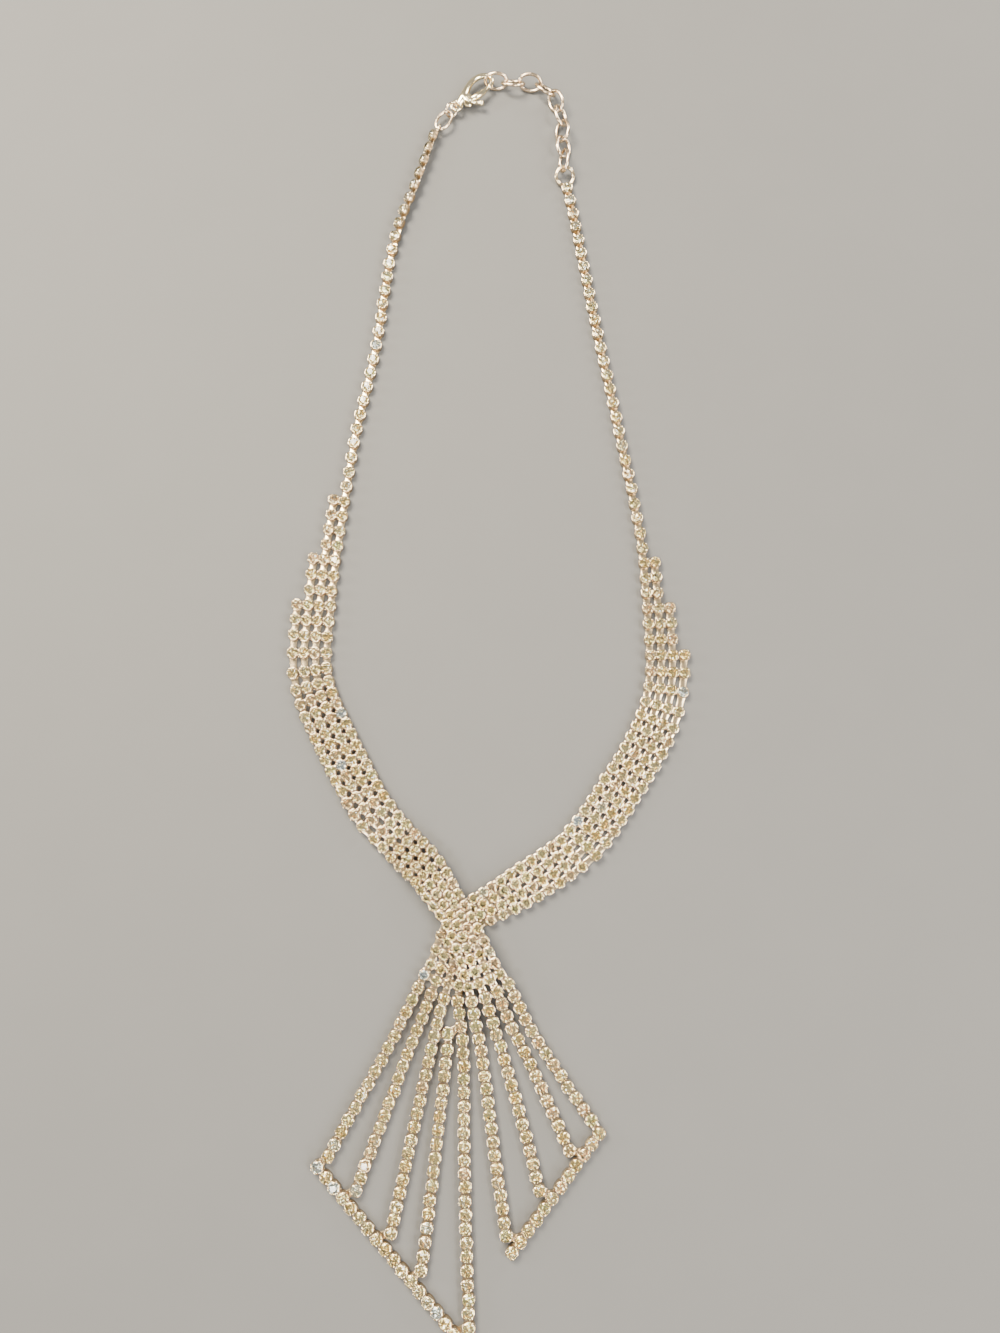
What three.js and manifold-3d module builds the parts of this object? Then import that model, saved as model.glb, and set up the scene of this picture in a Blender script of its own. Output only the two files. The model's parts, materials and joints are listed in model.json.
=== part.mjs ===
// Bib necklace of cup-set rhinestones, lying flat and closed, as on a table.
// Millimetres, +Z up, the table at Z = 0, +Y from the fan towards the clasp.
// The origin is on the table, at the middle of the necklace's footprint.

import * as THREE from 'three';
import { mergeVertices } from 'three/addons/utils/BufferGeometryUtils.js';
import Module from 'manifold-3d';

const wasm = await Module();
wasm.setup();

// Driving dimensions

const cup = {
  width: 2.3, // across the flats of one setting
  rim: 1.15, // height of the metal cup
  height: 1.75, // up to the stone's table
  table: 0.52, // table of the stone, as a share of the cup's width
};
const chain = {
  pitch: 3.1, // open spacing of the neck chains and of the stepped shoulders
  strip: 0.45, // thickness of the metal strip between two open-spaced cups
  closePitch: 2.3, // spacing where cup touches cup
};
const shoulder = {
  neckStones: 27, // stones of a neck chain before its shoulder starts
  leftRows: [4, 3, 5], // open rows that are 2, 3 and 4 strands wide
  rightRows: [3, 3, 4],
  strandPitch: 2.2, // from strand to strand
  groove: 0.95, // height of the grooves between the stones
  table: 0.46, // flat top of each stone, as a share of its cell
};
const lowerBand = {
  strands: 4,
  width: 8.3, // four strands side by side
  waist: 6.0, // the same four, gathered where the bands cross
  gathering: 14, // length over which they narrow to the waist
  fanWidth: 8.6, // where they open out again above the fan
};
const fan = {
  startRadius: 14.0, // from the crossing to the first stone of each strand
  leftAxis: -66.5, // heading of the left band past the crossing, degrees
  rightAxis: -106.5, // heading of the right band past the crossing
  descent: 11, // length over which the raised strands come down to the table
};
const clearance = 0.3; // between pieces that lie against each other
const layer = cup.height + clearance; // rise of the band that passes over

const link = { length: 5.35, width: 3.9, wire: 0.66 };
const endRing = { radius: 1.85, wire: 0.72 };
const endRingTilt = 22; // degrees, its far side up
const ovalRing = { length: 5.2, width: 3.4, wire: 0.6, heading: 57, rise: 6 };
const smallRing = { radius: 1.35, wire: 0.52, heading: 46, roll: 62 };
const chainLoop = { radius: 0.9, wire: 0.5 };
const coarse = { segments: 12, sides: 5 }; // facets of the loose links and rings
const fine = { segments: 14, sides: 6 }; // facets of the soldered rings and the clasp's eye

const clasp = {
  heading: 44, // degrees from +X
  height: 1.6, // middle of the clasp above the table
  eyeRadius: 1.05,
  eyeWire: 0.7,
  cheekRadius: 1.0, // the round cheeks that hold the lever's pin
  cheekHeight: 2.2,
  pinRadius: 0.3,
  leverThickness: 0.8,
  leverDisc: 0.78,
  tabBall: 0.6,
};
const slack = 0.16; // running gap round the lever and its pin

// Routes, a few chosen points each, [x, y] on the table

const routes = {
  leftInner: [
    [-12.9, 110.0], [-16.7, 98.0], [-19.3, 90.6], [-21.0, 83.2], [-22.3, 73.1],
    [-23.5, 62.9], [-25.2, 52.9], [-27.0, 44.1], [-28.3, 34.4], [-29.4, 25.0],
    [-30.6, 14.0], [-31.2, 4.0], [-31.6, -3.8], [-30.5, -9.4], [-27.0, -16.9],
    [-22.9, -24.6], [-20.6, -28.8], [-18.6, -31.8], [-17.6, -32.87],
  ],
  rightInner: [
    [15.9, 98.1], [17.2, 91.6], [20.5, 73.1], [22.6, 61.6], [24.8, 50.7],
    [26.8, 39.8], [28.8, 29.0], [30.3, 19.6], [31.0, 10.0], [31.5, 0.0],
    [31.5, -6.5], [30.7, -11.5], [28.2, -17.6], [22.6, -26.8], [16.3, -36.0], [14.8, -37.5],
  ],
  leftLower: [
    [-19.75, -35.4], [-15.4, -39.9], [-11.0, -44.3], [-7.7, -49.0], [-4.7, -53.5],
  ],
  rightLower: [
    [16.8, -40.15], [14.5, -42.1], [11.6, -43.9], [6.4, -47.1], [1.2, -50.2], [-2.6, -52.0], [-4.7, -53.5],
  ],
  leftEdge: [[-29.7, -96.1], [-4.9, -123.0]],
  rightEdge: [[20.7, -90.2], [5.1, -109.9]],
  extender: [[4.6, 122.8], [9.0, 122.5], [12.6, 119.9], [14.4, 115.5], [15.0, 109.0]],
  crossing: [-4.7, -53.5],
};

// Strands of the fan, left to right. "from" is the heading from the crossing to
// the first stone, "via" are points on the way, "edge" and "share" say where the
// strand lands, and "beside" is the direction from there to its last stone.
const fanStrands = [
  { from: -123, via: [[-17.4, -75.4]], edge: 'leftEdge', share: 0, beside: 45 },
  { from: -112.5, via: [[-13.6, -75.8]], edge: 'leftEdge', share: 0.242, beside: 70 },
  { from: -102, via: [[-10.0, -77.0]], edge: 'leftEdge', share: 0.515, beside: 79 },
  { underBar: true, via: [[-8.7, -94.0]], edge: 'leftEdge', share: 0.75, beside: 85 },
  { from: -91.5, via: [[-4.0, -76.0], [-3.4, -98.0]], edge: 'leftEdge', share: 1, beside: 22 },
  { from: -81, via: [[-0.9, -75.3], [2.2, -95.7]], edge: 'rightEdge', share: 1, beside: 112 },
  { from: -70.5, via: [[2.9, -75.8], [5.6, -84.4]], edge: 'rightEdge', share: 0.635, beside: 106 },
  { from: -60.5, via: [[4.6, -71.6], [8.3, -78.6]], edge: 'rightEdge', share: 0.278, beside: 114 },
  { from: -50.5, via: [[8.4, -72.4], [15.7, -83.2]], edge: 'rightEdge', share: 0, beside: 124 },
];
const barGap = 0.14; // from the single stone above the middle strand to the strands beside it
const raisedStart = 0.85; // where the strands of the band that passes over start, as a share of its layer

// Tables

// Roll of the left neck chain about its own line, by stone
const leftNeckRoll = [68, 70, 66, 60, 55, 48, 40, 30, 20, 10];
// Roll of the links of the extender, in degrees from lying flat: of the two end
// links, and of those between them, over and over. Each turns the other way from the last.
const endRoll = 62;
const linkRoll = [38, 50, 42, 46, 45, 42, 34];
// Rise of the band that passes over, by share of its length
const overRise = [[0, 0], [0.12, 0], [0.4, 1], [0.94, 1], [1, 0.9]];
// Hook of the clasp: along, across, radius of the metal
const hook = [
  [0.95, 0.0, 0.7], [2.4, 0.35, 1.0], [4.2, 1.25, 0.8], [6.2, 1.9, 0.64], [8.2, 1.8, 0.6],
  [9.6, 0.95, 0.57], [9.95, -0.3, 0.55], [9.3, -1.2, 0.52], [8.35, -1.55, 0.45],
];
const hookRest = [8.6, 0]; // where the first link lies in the hook
// Lever, from its pin at the origin: arm to the hook's tip, and thumb tab
const pivot = [2.75, -0.8];
const leverArm = [[0.3, -0.05, 0.4], [1.9, -0.6, 0.62], [3.4, -0.8, 0.56], [4.85, -0.7, 0.38]];
const leverTab = [[0.2, -0.3, 0.4], [0.75, -1.5, 0.36], [1.6, -2.4, 0.34]];

// Materials

const metal = (name, color, roughness) =>
  new THREE.MeshStandardMaterial({ name, color, roughness, metalness: 1 });
const silver = metal('silver_plate', 0xd8cfba, 0.25);
const brightSilver = metal('bright_silver', 0xe3dac6, 0.18);
const stoneSetting = new THREE.MeshStandardMaterial({
  name: 'stones_in_cups', color: 0xe9e0c6, roughness: 0.12, metalness: 0.6,
});

// Geometry helpers

const radians = (degrees) => THREE.MathUtils.degToRad(degrees);
const flat = ([x, y], z = 0) => new THREE.Vector3(x, y, z);
const heading = (degrees) => flat([Math.cos(radians(degrees)), Math.sin(radians(degrees))]);
const upward = new THREE.Vector3(0, 0, 1);

// Point reached from start by going "distance" along "direction"
const step = (start, direction, distance) => start.clone().addScaledVector(direction, distance);

// Value of a table of [share, value] rows at one share
function interpolate(table, share) {
  const next = Math.max(1, table.findIndex(([at]) => at >= share));
  const [a, b] = [table[next - 1], table[next]];
  return THREE.MathUtils.lerp(a[1], b[1], (share - a[0]) / (b[0] - a[0]));
}

// A closed solid collected face by face; each face is a fan from its first point
class Facets {
  positions = [];

  add(...points) {
    for (let i = 1; i < points.length - 1; i += 1) {
      for (const point of [points[0], points[i], points[i + 1]]) {
        this.positions.push(point.x, point.y, point.z);
      }
    }
  }

  geometry() {
    const geometry = new THREE.BufferGeometry();
    geometry.setAttribute('position', new THREE.Float32BufferAttribute(this.positions, 3));
    return welded(geometry);
  }
}

function welded(geometry) {
  const bare = geometry.clone();
  bare.deleteAttribute('normal');
  bare.deleteAttribute('uv');
  const merged = mergeVertices(bare, 1e-4);
  merged.computeVertexNormals();
  return merged;
}

function toSolid(geometry) {
  const { attributes, index } = welded(geometry);
  return new wasm.Manifold(new wasm.Mesh({
    numProp: 3,
    vertProperties: Float32Array.from(attributes.position.array),
    triVerts: Uint32Array.from(index.array),
  }));
}

function fromSolid(solid) {
  const { vertProperties, triVerts } = solid.getMesh();
  const geometry = new THREE.BufferGeometry();
  geometry.setAttribute('position', new THREE.Float32BufferAttribute(vertProperties, 3));
  geometry.setIndex(Array.from(triVerts));
  geometry.computeVertexNormals();
  return geometry;
}

const joined = (...geometries) => geometries.map(toSolid).reduce((a, b) => a.add(b));

// Smooth curve through points on the table
function smooth(points) {
  const curve = new THREE.CatmullRomCurve3(points, false, 'centripetal');
  curve.arcLengthDivisions = 600;
  return curve;
}

// Where a piece stands on a curve: foot, and its directions along, across and up
function station(curve, share, lift = 0, roll = 0) {
  const along = curve.getTangentAt(share);
  along.z = 0;
  along.normalize();
  const up = upward.clone().applyAxisAngle(along, radians(roll));
  const across = new THREE.Vector3().crossVectors(up, along);
  const turn = Math.abs(radians(roll));
  const middle = (cup.width / 2) * Math.sin(turn) + (cup.height / 2) * Math.cos(turn);
  const foot = curve.getPointAt(share);
  foot.z += lift + middle;
  foot.addScaledVector(up, -cup.height / 2);
  return { foot, along, across, up };
}

const local = ({ foot, along, across, up }, x, y, z) =>
  foot.clone().addScaledVector(along, x).addScaledVector(across, y).addScaledVector(up, z);

// Round wire closed on itself, its middle line an ellipse in the XY plane
function wireLoop(alongRadius, acrossRadius, wire, { segments, sides } = coarse) {
  const facets = new Facets();
  const point = (i, j) => {
    const t = (i / segments) * 2 * Math.PI;
    const s = (j / sides) * 2 * Math.PI;
    const out = new THREE.Vector3(Math.cos(t) * acrossRadius, Math.sin(t) * alongRadius, 0).normalize();
    return new THREE.Vector3(Math.cos(t) * alongRadius, Math.sin(t) * acrossRadius, 0)
      .addScaledVector(out, Math.cos(s) * wire / 2)
      .add(new THREE.Vector3(0, 0, Math.sin(s) * wire / 2));
  };
  for (let i = 0; i < segments; i += 1) {
    for (let j = 0; j < sides; j += 1) {
      facets.add(point(i, j), point(i + 1, j), point(i + 1, j + 1), point(i, j + 1));
    }
  }
  return facets.geometry();
}

// Round bar through rows of [x, y, radius] in the XY plane
function taperedBar(rows, steps, sides = 8) {
  const facets = new Facets();
  const curve = smooth(rows.map((row) => flat(row)));
  const shares = rows.map((row, i) => [i / (rows.length - 1), row[2]]);
  const ring = (i) => {
    const share = i / steps;
    const centre = curve.getPoint(share);
    const along = curve.getTangent(share);
    const across = new THREE.Vector3().crossVectors(upward, along).normalize();
    const radius = interpolate(shares, share);
    return Array.from({ length: sides }, (_, j) => {
      const t = ((j + 0.5) / sides) * 2 * Math.PI;
      return centre.clone()
        .addScaledVector(across, Math.cos(t) * radius)
        .addScaledVector(upward, Math.sin(t) * radius);
    });
  };
  const rings = Array.from({ length: steps + 1 }, (_, i) => ring(i));
  for (let i = 0; i < steps; i += 1) {
    for (let j = 0; j < sides; j += 1) {
      const k = (j + 1) % sides;
      facets.add(rings[i][j], rings[i][k], rings[i + 1][k], rings[i + 1][j]);
    }
  }
  facets.add(...rings[0].toReversed());
  facets.add(...rings[steps]);
  return facets.geometry();
}

const disc = (radius, height, sides = 12) =>
  new THREE.CylinderGeometry(radius, radius, height, sides).rotateX(Math.PI / 2);

// Cup chains

// The eight corners of a cup at one height, counter-clockwise from front left
function cupCorners(place, z) {
  const half = cup.width / 2;
  const short = half * Math.tan(Math.PI / 8);
  return [
    [half, short], [short, half], [-short, half], [-half, short],
    [-half, -short], [-short, -half], [short, -half], [half, -short],
  ].map(([x, y]) => local(place, x, y, z));
}

// The stone: a square table with four broad facets and four triangular ones
function addStone(facets, place, rim) {
  const reach = (cup.width * cup.table) / 2;
  const table = [[reach, reach], [-reach, reach], [-reach, -reach], [reach, -reach]]
    .map(([x, y]) => local(place, x, y, cup.height));
  for (let m = 0; m < 4; m += 1) {
    const next = (m + 1) % 4;
    facets.add(rim[2 * m], rim[2 * m + 1], table[m]);
    facets.add(rim[2 * m + 1], rim[(2 * m + 2) % 8], table[next], table[m]);
  }
  facets.add(...table);
}

// Close-set chain: each cup shares its front wall's place with the next cup's back
function closeChain(places) {
  const facets = new Facets();
  const low = places.map((place) => cupCorners(place, 0));
  const rim = places.map((place) => cupCorners(place, cup.rim));
  for (let i = 0; i < places.length - 1; i += 1) {
    for (const corners of [low, rim]) {
      for (const [front, back] of [[0, 3], [7, 4]]) {
        const shared = corners[i][front].clone().lerp(corners[i + 1][back], 0.5);
        corners[i][front] = shared;
        corners[i + 1][back] = shared;
      }
    }
  }
  places.forEach((place, i) => {
    const open = { 3: i === 0, 7: i === places.length - 1 };
    for (let k = 0; k < 8; k += 1) {
      const n = (k + 1) % 8;
      if (open[k] ?? true) facets.add(low[i][k], low[i][n], rim[i][n], rim[i][k]);
    }
    facets.add(...low[i].toReversed());
    addStone(facets, place, rim[i]);
  });
  return facets.geometry();
}

// Open-spaced chain: cups joined by a thin metal strip under them
function openChain(places) {
  const facets = new Facets();
  const cups = places.map((place) => ({
    low: cupCorners(place, 0),
    strip: cupCorners(place, chain.strip),
    rim: cupCorners(place, cup.rim),
  }));
  cups.forEach(({ low, strip, rim }, i) => {
    const front = i < cups.length - 1;
    const back = i > 0;
    const wall = (k, from) => facets.add(from[k], from[(k + 1) % 8], rim[(k + 1) % 8], rim[k]);
    wall(1, low);
    wall(5, low);
    wall(7, front ? strip : low);
    wall(3, back ? strip : low);
    facets.add(low[1], rim[1], rim[0], ...(front ? [strip[0]] : []), low[0]);
    facets.add(low[6], low[7], ...(front ? [strip[7]] : []), rim[7], rim[6]);
    facets.add(low[2], low[3], ...(back ? [strip[3]] : []), rim[3], rim[2]);
    facets.add(low[5], rim[5], rim[4], ...(back ? [strip[4]] : []), low[4]);
    facets.add(...low.toReversed());
    addStone(facets, places[i], rim);
    if (!front) return;
    const next = cups[i + 1];
    facets.add(strip[7], next.strip[4], next.strip[3], strip[0]);
    facets.add(low[7], low[0], next.low[3], next.low[4]);
    facets.add(low[0], strip[0], next.strip[3], next.low[3]);
    facets.add(low[7], next.low[4], next.strip[4], strip[7]);
  });
  return facets.geometry();
}

// Evenly spaced places along the whole of a curve, cup against cup
function closePlaces(curve, lift = () => 0) {
  const gaps = Math.max(1, Math.round(curve.getLength() / chain.closePitch));
  return Array.from({ length: gaps + 1 }, (_, i) => station(curve, i / gaps, lift(i / gaps)));
}

// Bands

const cornerReach = cup.width / 2 / Math.cos(Math.PI / 8);
const bandEnd = fan.startRadius - cornerReach - clearance; // from the crossing to the bands' ends

// A field of stones side by side. lines[r][q] is a corner of the field between
// rows and strands, and widths[r] is the number of strands in row r.
function stoneField(lines, widths) {
  const facets = new Facets();
  const raised = (r, q, z) => step(lines[r][q], upward, z);
  const has = (r, q) => r >= 0 && r < widths.length && q >= 0 && q < widths[r];
  widths.forEach((width, r) => {
    for (let q = 0; q < width; q += 1) {
      const corners = [[r, q], [r, q + 1], [r + 1, q + 1], [r + 1, q]];
      const neighbours = [[r - 1, q], [r, q + 1], [r + 1, q], [r, q - 1]];
      const low = corners.map(([i, j]) => raised(i, j, 0));
      const groove = corners.map(([i, j]) => raised(i, j, shoulder.groove));
      const middle = low.reduce((sum, p) => sum.add(p), new THREE.Vector3()).divideScalar(4);
      const table = low.map((p) => step(middle.clone().lerp(p, shoulder.table), upward, cup.height));
      for (let k = 0; k < 4; k += 1) {
        const n = (k + 1) % 4;
        facets.add(groove[k], groove[n], table[n], table[k]);
        if (!has(...neighbours[k])) facets.add(low[k], low[n], groove[n], groove[k]);
      }
      facets.add(...table);
      facets.add(...low.toReversed());
    }
  });
  return facets.geometry();
}

// Rows of a shoulder, as distances along the inner strand
function shoulderRows(curve, openRows) {
  const widths = openRows.flatMap((rows, i) => Array(rows).fill(i + 2));
  const ends = [(shoulder.neckStones - 0.5) * chain.pitch];
  widths.forEach(() => ends.push(ends.at(-1) + chain.pitch));
  const rest = curve.getLength() - ends.at(-1);
  const closeRows = Math.max(1, Math.round(rest / chain.closePitch));
  for (let i = 0; i < closeRows; i += 1) {
    ends.push(ends.at(-1) + rest / closeRows);
    widths.push(lowerBand.strands);
  }
  return { ends, widths };
}

// side is +1 where the other strands lie to the left of the route's direction
function shoulderBand(points, openRows, side) {
  const curve = smooth(points.map((point) => flat(point)));
  const { ends, widths } = shoulderRows(curve, openRows);
  const lines = ends.map((end) => {
    const { foot, across } = station(curve, Math.min(1, end / curve.getLength()));
    return Array.from({ length: lowerBand.strands + 1 }, (_, q) =>
      step(foot, across, side * (q - 0.5) * shoulder.strandPitch));
  });
  return side > 0 ? stoneField(lines.toReversed(), widths.toReversed()) : stoneField(lines, widths);
}

// Four strands from the shoulder, through the crossing, to the top of the fan
function crossingBand(points, axis, lift) {
  const crossing = flat(routes.crossing);
  const end = step(crossing, heading(axis), bandEnd);
  const curve = smooth([...points.map((point) => flat(point)), end]);
  const rows = Math.round(curve.getLength() / chain.closePitch);
  const lines = Array.from({ length: rows + 1 }, (_, r) => {
    const { foot, across } = station(curve, r / rows, lift(r / rows));
    const offset = foot.clone().setZ(0).sub(crossing);
    const past = offset.dot(heading(axis)) > 0 && offset.y < 0;
    const width = past
      ? THREE.MathUtils.lerp(lowerBand.waist, lowerBand.fanWidth, offset.length() / bandEnd)
      : THREE.MathUtils.lerp(lowerBand.waist, lowerBand.width,
        THREE.MathUtils.smoothstep(offset.length(), 0, lowerBand.gathering));
    return Array.from({ length: lowerBand.strands + 1 }, (_, q) => {
      const side = width * (0.5 - q / lowerBand.strands);
      const arc = r === rows ? Math.sqrt(bandEnd ** 2 - side ** 2) - bandEnd : 0; // the end is round
      return step(step(foot, across, side), heading(axis), arc);
    });
  });
  return stoneField(lines, Array(rows).fill(lowerBand.strands));
}

// Fan

const edgeCurves = {
  leftEdge: smooth(routes.leftEdge.map((point) => flat(point))),
  rightEdge: smooth(routes.rightEdge.map((point) => flat(point))),
};

// The last stone of a strand, clear of the cups of the edge that it lands on
function landingPlace({ edge, share, beside }) {
  const direction = heading(beside);
  const slant = edgeCurves[edge].getTangentAt(share).cross(direction).length();
  const distance = (cup.width / 2 + cornerReach + clearance / 2) / slant;
  return step(edgeCurves[edge].getPointAt(share), direction, distance);
}

const strandCurve = (strand, start) =>
  smooth([start, ...strand.via.map((point) => flat(point)), landingPlace(strand)]);

const freeStrand = (strand) =>
  strandCurve(strand, step(flat(routes.crossing), heading(strand.from), fan.startRadius));

// The first place below the crossing where two strands leave room for a stone between them
function roomBetween(left, right, gap) {
  const room = 2 * (cup.width + gap);
  const reach = Math.min(left.getLength(), right.getLength());
  for (let distance = 0; distance < reach; distance += 0.05) {
    const a = left.getPointAt(distance / left.getLength());
    const b = right.getPointAt(distance / right.getLength());
    if (a.distanceTo(b) >= room) return { foot: a.clone().lerp(b, 0.5), along: b.clone().sub(a).normalize() };
  }
  throw new Error('no room for the stone between the strands');
}

const barStrand = fanStrands.findIndex((strand) => strand.underBar);
const [barLeft, barRight] = [barStrand - 1, barStrand + 1].map((i) => freeStrand(fanStrands[i]));
const barRoom = roomBetween(barLeft, barRight, barGap);
const barPlace = {
  ...barRoom,
  across: barRoom.along.clone().applyAxisAngle(upward, Math.PI / 2),
  up: upward,
};
const strandCurves = fanStrands.map((strand) => (strand.underBar
  ? strandCurve(strand, step(barPlace.foot, barPlace.across, -(cup.width + clearance)))
  : freeStrand(strand)));

// The band that passes over ends in the strands that land on the right edge
function fanStrand(curve, { edge }) {
  const raised = edge === 'rightEdge' ? raisedStart * layer : 0;
  const fall = fan.descent / curve.getLength();
  return closeChain(closePlaces(curve, (share) =>
    raised * (1 - THREE.MathUtils.smoothstep(share, 0, fall))));
}

// Neck chains

function neckPlaces(points, rolls = []) {
  const curve = smooth(points.map((point) => flat(point)));
  return Array.from({ length: shoulder.neckStones }, (_, i) =>
    station(curve, (i * chain.pitch) / curve.getLength(), 0, rolls[i] ?? 0));
}

const leftPlaces = neckPlaces(routes.leftInner, leftNeckRoll);
const rightPlaces = neckPlaces(routes.rightInner);

// A ring of wire soldered to the outer end of a chain, tilted about that end
function solderedRing({ foot, along, across, up }, ring, tilt) {
  const back = along.clone().negate().applyAxisAngle(across, radians(tilt));
  const right = across.clone().negate();
  const solder = step(step(foot, along, ring.wire / 4 - cup.width / 2), up, ring.wire / 2);
  const centre = step(solder, back, ring.radius);
  const basis = new THREE.Matrix4()
    .makeBasis(back, right, new THREE.Vector3().crossVectors(back, right))
    .setPosition(centre);
  const geometry = wireLoop(ring.radius, ring.radius, ring.wire, fine).applyMatrix4(basis);
  return { geometry, centre, back };
}

const leftLoop = solderedRing(leftPlaces[0], chainLoop, 0);
const rightRing = solderedRing(rightPlaces[0], endRing, endRingTilt);

// Links, rings and clasp

function placeLink(mesh, centre, along, roll) {
  const up = upward.clone().applyAxisAngle(along, radians(roll));
  const across = new THREE.Vector3().crossVectors(up, along);
  mesh.quaternion.setFromRotationMatrix(new THREE.Matrix4().makeBasis(along, across, up));
  mesh.position.copy(centre);
}

const ovalSlope = flat([0, 0], Math.tan(radians(ovalRing.rise)));
const ovalDirection = heading(ovalRing.heading).add(ovalSlope).normalize();
const smallDirection = heading(smallRing.heading);
const ovalReach = (ovalRing.length - ovalRing.wire) / 2;
const ovalCentre = step(leftLoop.centre, ovalDirection, ovalReach);
// Two wires share the small ring's hole with even gaps, the oval's and the eye's
const smallHole = smallRing.radius - smallRing.wire / 2;
const ringGap = (2 * smallHole - ovalRing.wire - clasp.eyeWire) / 3;
const smallCentre = step(step(ovalCentre, ovalDirection, ovalReach), smallDirection,
  smallHole - ringGap - ovalRing.wire / 2);
const eyeCentre = step(smallCentre, smallDirection,
  smallHole - ringGap - clasp.eyeWire / 2 + clasp.eyeRadius).setZ(clasp.height);

function claspBody() {
  const eye = wireLoop(clasp.eyeRadius, clasp.eyeRadius, clasp.eyeWire, fine);
  const cheeks = disc(clasp.cheekRadius, clasp.cheekHeight).translate(...pivot, 0);
  const slot = disc(clasp.leverDisc + 2 * slack, clasp.leverThickness + 2 * slack, 16)
    .translate(...pivot, 0);
  const pin = disc(clasp.pinRadius, clasp.cheekHeight, 8).translate(...pivot, 0);
  return fromSolid(joined(eye, taperedBar(hook, 14), cheeks).subtract(toSolid(slot)).add(toSolid(pin)));
}

function claspLever() {
  const tab = leverTab.at(-1);
  const ball = new THREE.SphereGeometry(clasp.tabBall, 8, 6).translate(tab[0], tab[1], 0);
  const hole = disc(clasp.pinRadius + slack, clasp.leverThickness * 2, 12);
  const solid = joined(
    disc(clasp.leverDisc, clasp.leverThickness), taperedBar(leverArm, 5), taperedBar(leverTab, 4), ball);
  return fromSolid(solid.subtract(toSolid(hole)));
}

// Assembly

const necklace = new THREE.Group();

function add(parent, name, geometry, material) {
  const mesh = new THREE.Mesh(geometry, material.clone());
  mesh.name = name;
  parent.add(mesh);
  return mesh;
}

const chainWithRing = (places, ring) => fromSolid(joined(openChain(places), ring.geometry));
add(necklace, 'neck_chain_left', chainWithRing(leftPlaces, leftLoop), stoneSetting);
add(necklace, 'neck_chain_right', chainWithRing(rightPlaces, rightRing), stoneSetting);
add(necklace, 'shoulder_band_left',
  shoulderBand(routes.leftInner, shoulder.leftRows, -1), stoneSetting);
add(necklace, 'shoulder_band_right',
  shoulderBand(routes.rightInner, shoulder.rightRows, 1), stoneSetting);
add(necklace, 'lower_band_left', crossingBand(routes.leftLower, fan.leftAxis,
  (share) => layer * interpolate(overRise, share)), stoneSetting);
add(necklace, 'lower_band_right',
  crossingBand(routes.rightLower, fan.rightAxis, () => 0), stoneSetting);

strandCurves.forEach((curve, i) =>
  add(necklace, `fan_strand_${i + 1}`, fanStrand(curve, fanStrands[i]), stoneSetting));
add(necklace, 'fan_bar', closeChain([barPlace]), stoneSetting);
add(necklace, 'fan_edge_left', closeChain(closePlaces(edgeCurves.leftEdge)), stoneSetting);
add(necklace, 'fan_edge_right', closeChain(closePlaces(edgeCurves.rightEdge)), stoneSetting);

const oval = add(necklace, 'oval_ring',
  wireLoop(ovalReach, (ovalRing.width - ovalRing.wire) / 2, ovalRing.wire), silver);
placeLink(oval, ovalCentre, ovalDirection, 0);
const small = add(necklace, 'small_ring',
  wireLoop(smallRing.radius, smallRing.radius, smallRing.wire), silver);
placeLink(small, smallCentre, smallDirection, smallRing.roll);

const claspGroup = new THREE.Group();
claspGroup.position.copy(eyeCentre);
claspGroup.rotation.z = radians(clasp.heading);
necklace.add(claspGroup);
add(claspGroup, 'clasp_body', claspBody(), brightSilver);
const lever = add(claspGroup, 'clasp_lever', claspLever(), brightSilver);
lever.position.set(...pivot, 0);
necklace.updateMatrixWorld(true);

// The extender hangs from the hook to the end ring, its slack shared out evenly
const linkReach = (link.length - link.wire) / 2;
const linkSide = (link.width - link.wire) / 2;
const ringEnd = step(rightRing.centre, rightRing.back,
  endRing.radius - endRing.wire / 2 - link.wire / 2 - clearance).setZ(0);
const extender = smooth([
  claspGroup.localToWorld(flat(hookRest)).setZ(0),
  ...routes.extender.map((point) => flat(point)),
  ringEnd,
]);
const firstLink = linkReach / extender.getLength();
const tightPitch = 2 * linkReach - link.wire - clearance / 2;
const linkGaps = Math.ceil((extender.getLength() - 2 * linkReach) / tightPitch);
for (let i = 0; i <= linkGaps; i += 1) {
  const share = THREE.MathUtils.lerp(firstLink, 1 - firstLink, i / linkGaps);
  const size = i === 0 || i === linkGaps ? endRoll : linkRoll[(i - 1) % linkRoll.length];
  const roll = (linkGaps - i) % 2 ? -size : size;
  const mesh = add(necklace, `extender_link_${i + 1}`, wireLoop(linkReach, linkSide, link.wire), silver);
  const height = linkSide * Math.abs(Math.sin(radians(roll))) + link.wire / 2;
  placeLink(mesh, extender.getPointAt(share).setZ(height), extender.getTangentAt(share), roll);
}

export default necklace;
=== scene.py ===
"""Bib necklace of cup-set rhinestones: the finish of every piece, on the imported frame.

Shapes are worked out in millimetres and written to Blender in metres. The places of
the stones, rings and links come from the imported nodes, so each piece sits where the
model says.
"""

import json
import math

import bmesh
import bpy
import numpy as np
from mathutils import Matrix, Vector


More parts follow.
